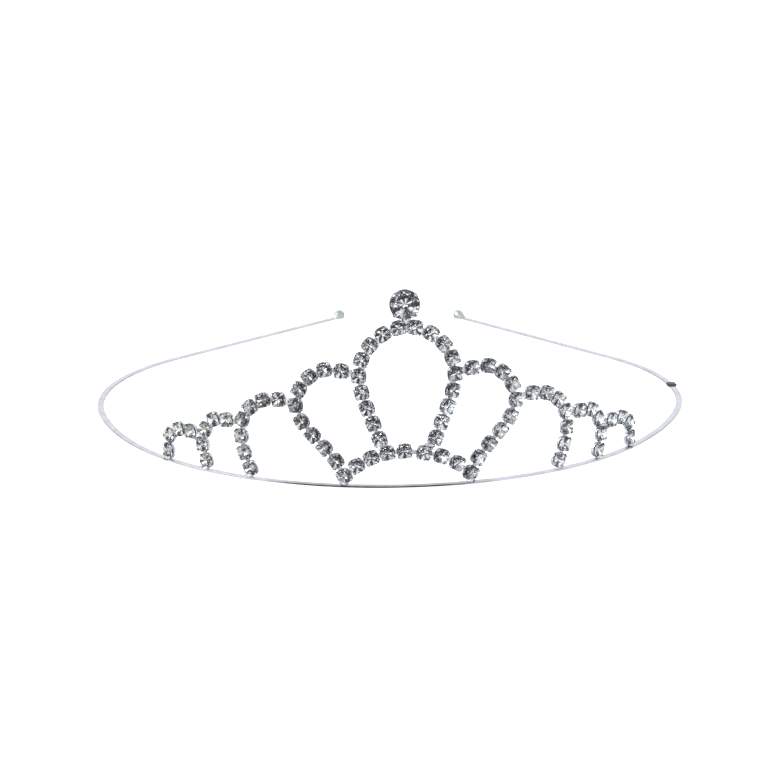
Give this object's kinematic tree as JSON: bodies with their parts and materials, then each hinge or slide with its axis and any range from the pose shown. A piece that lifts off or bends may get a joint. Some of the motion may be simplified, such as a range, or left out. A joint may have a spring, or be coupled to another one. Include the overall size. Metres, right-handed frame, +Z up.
{
  "type": "bridal tiara",
  "caption": "Bridal tiara: spring headband with arches of clear cup-chain stones along its front and a large round stone on top.",
  "frame": {"origin": "middle of the headband's front, on its flat underside", "axes": "+X to the right seen from the front, +Y to the back along the arms, +Z up; the stones face -Y"},
  "size_m": [0.13, 0.1426, 0.0409],
  "materials": {
    "plated_band": "bright silver-plated spring wire, faintly brushed along its length",
    "plated_cup": "bright silver-plated claw cups, darker in their corners",
    "plated_link": "silver-plated link bars",
    "solder": "soft solder beads, satin with small ripples",
    "end_bead": "rounded end beads, plated, slightly dull",
    "crimp": "small dark olive-brown oxidised crimp",
    "crystal": "clear faceted glass with a foil back"
  },
  "bodies": {
    "front": {"bridge_wire": "plated_link", "centre_arch_cups": "plated_cup", "centre_arch_links": "plated_link", "centre_arch_stones": "crystal", "headband_front": "plated_band", "left_bridge_cups": "plated_cup", "left_bridge_links": "plated_link", "left_bridge_stones": "crystal", "left_end_arch_cups": "plated_cup", "left_end_arch_links": "plated_link", "left_end_arch_stones": "crystal", "left_feet_solder": "solder", "left_inner_arch_cups": "plated_cup", "left_inner_arch_links": "plated_link", "left_inner_arch_stones": "crystal", "left_middle_arch_cups": "plated_cup", "left_middle_arch_links": "plated_link", "left_middle_arch_stones": "crystal", "left_outer_arch_cups": "plated_cup", "left_outer_arch_links": "plated_link", "left_outer_arch_stones": "crystal", "left_strand_solder": "solder", "right_bridge_cups": "plated_cup", "right_bridge_links": "plated_link", "right_bridge_stones": "crystal", "right_end_arch_cups": "plated_cup", "right_end_arch_links": "plated_link", "right_end_arch_stones": "crystal", "right_feet_solder": "solder", "right_inner_arch_cups": "plated_cup", "right_inner_arch_links": "plated_link", "right_inner_arch_stones": "crystal", "right_middle_arch_cups": "plated_cup", "right_middle_arch_links": "plated_link", "right_middle_arch_stones": "crystal", "right_outer_arch_cups": "plated_cup", "right_outer_arch_links": "plated_link", "right_outer_arch_stones": "crystal", "right_strand_solder": "solder", "solitaire_setting": "plated_cup", "solitaire_stem": "solder", "solitaire_stone": "crystal"},
    "left_arm": {"left_arm": "plated_band", "left_end_bead": "end_bead"},
    "right_arm": {"right_arm": "plated_band", "right_end_bead": "end_bead", "temple_crimp": "crimp"}
  },
  "joints": [
    {"name": "left_arm_flex", "type": "hinge", "parent": "front", "child": "left_arm", "pos_m": [-0.05322, 0.0302, 0], "axis": [0, 0, 1], "range_deg": [-6, 25], "stiffness_Nm_per_rad": 0.3},
    {"name": "right_arm_flex", "type": "hinge", "parent": "front", "child": "right_arm", "pos_m": [0.05322, 0.0302, 0], "axis": [0, 0, -1], "range_deg": [-6, 25], "stiffness_Nm_per_rad": 0.3}
  ]
}
